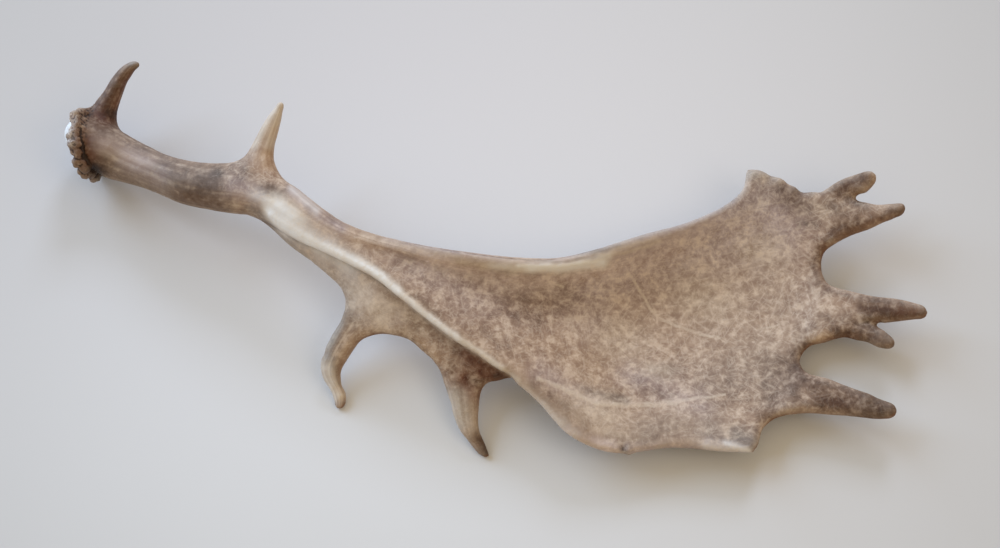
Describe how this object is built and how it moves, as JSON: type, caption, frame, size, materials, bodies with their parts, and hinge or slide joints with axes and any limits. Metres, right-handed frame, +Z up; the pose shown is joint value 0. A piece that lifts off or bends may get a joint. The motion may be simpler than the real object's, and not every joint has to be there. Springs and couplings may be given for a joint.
{
  "type": "fallow deer antler",
  "caption": "Shed fallow deer antler with burr, beam, brow and trez tines, cupped palm with forked points, and a rear web with hooked tines.",
  "frame": {"origin": "middle of the bottom of the bounding box, on the surface that the antler lies on", "axes": "+X from the burr to the points of the palm, +Y from the palm's rear edge to its front edge, +Z up with the hollow of the palm facing up"},
  "size_m": [0.6074, 0.2856, 0.0742],
  "materials": {
    "beam_antler": "grooved grey-brown antler",
    "brow_tine_antler": "dark brown antler",
    "trez_tine_antler": "golden tan antler",
    "palm_antler": "mottled tan antler",
    "front_speller_antler": "brown antler, worn tips",
    "middle_speller_antler": "brown antler, worn tips",
    "rear_speller_antler": "brown antler, worn tips",
    "lower_rear_tine_antler": "grey-brown antler, worn tip",
    "upper_rear_tine_antler": "grey-brown antler, dark tip"
  },
  "bodies": {
    "root": {"beam": "beam_antler", "brow_tine": "brow_tine_antler", "trez_tine": "trez_tine_antler", "palm": "palm_antler", "front_speller": "front_speller_antler", "middle_speller": "middle_speller_antler", "rear_speller": "rear_speller_antler", "lower_rear_tine": "lower_rear_tine_antler", "upper_rear_tine": "upper_rear_tine_antler"}
  },
  "joints": []
}
